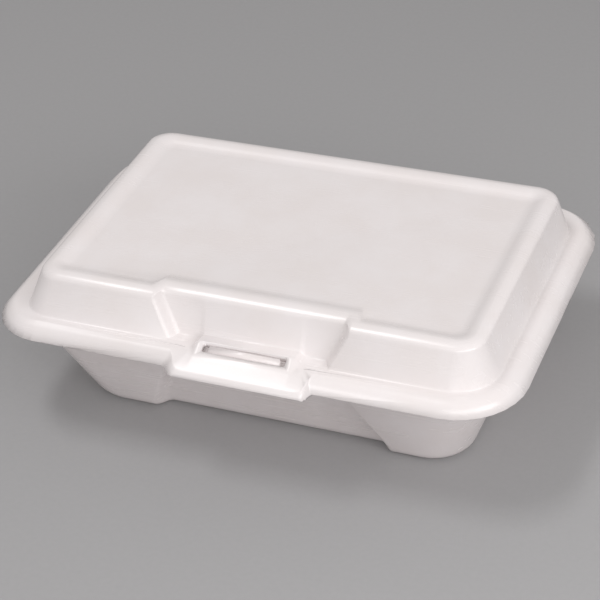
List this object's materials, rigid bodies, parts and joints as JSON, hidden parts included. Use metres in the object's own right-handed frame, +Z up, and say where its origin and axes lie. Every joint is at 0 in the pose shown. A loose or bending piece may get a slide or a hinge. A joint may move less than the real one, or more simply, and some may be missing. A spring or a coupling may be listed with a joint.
{
  "type": "foam clamshell container",
  "caption": "Hinged takeaway container of pale foam: deep tray with sloping walls, shallow beaded lid with a slot-and-tongue front closure.",
  "frame": {"origin": "on the floor under the middle of the closed container's outline", "axes": "+X along the front edge, +Y from the front tab towards the hinge fold, +Z up"},
  "size_m": [0.237, 0.1648, 0.073],
  "materials": {
    "tray_foam": "satin",
    "lid_foam": "satin"
  },
  "bodies": {
    "tray": {"base_tray": "tray_foam"},
    "lid": {"lid": "lid_foam"}
  },
  "joints": [
    {"name": "lid_hinge", "type": "hinge", "parent": "tray", "child": "lid", "pos_m": [0, 0.0826, 0.05165], "axis": [-1, 0, 0], "range_deg": [0, 180]}
  ]
}
